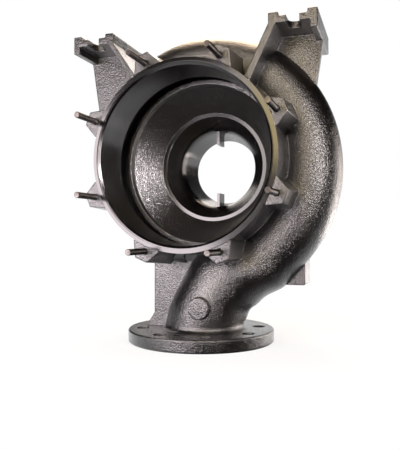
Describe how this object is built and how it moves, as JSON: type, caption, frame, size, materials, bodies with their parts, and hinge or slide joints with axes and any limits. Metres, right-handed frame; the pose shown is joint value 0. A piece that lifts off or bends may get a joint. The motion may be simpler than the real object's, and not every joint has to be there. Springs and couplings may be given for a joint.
{
  "type": "volute pump casing",
  "caption": "Spiral casing of a centrifugal pump in cast iron, with a studded motor register, axial suction, a flanged discharge duct and slotted mounting feet.",
  "frame": {"origin": "centre of the discharge flange's outer face", "axes": "+Z from the discharge face up to the pump axis and the feet, +Y along the pump axis from the motor register at the front to the suction flange at the back, +X to the right seen from the front"},
  "size_m": [0.3598, 0.257, 0.42],
  "materials": {
    "casting": "black dip coating over rough-cast iron, smooth on the machined faces",
    "studs": "plain threaded steel"
  },
  "bodies": {
    "root": {"volute_casing": "casting", "cover_studs": "studs"}
  },
  "joints": []
}
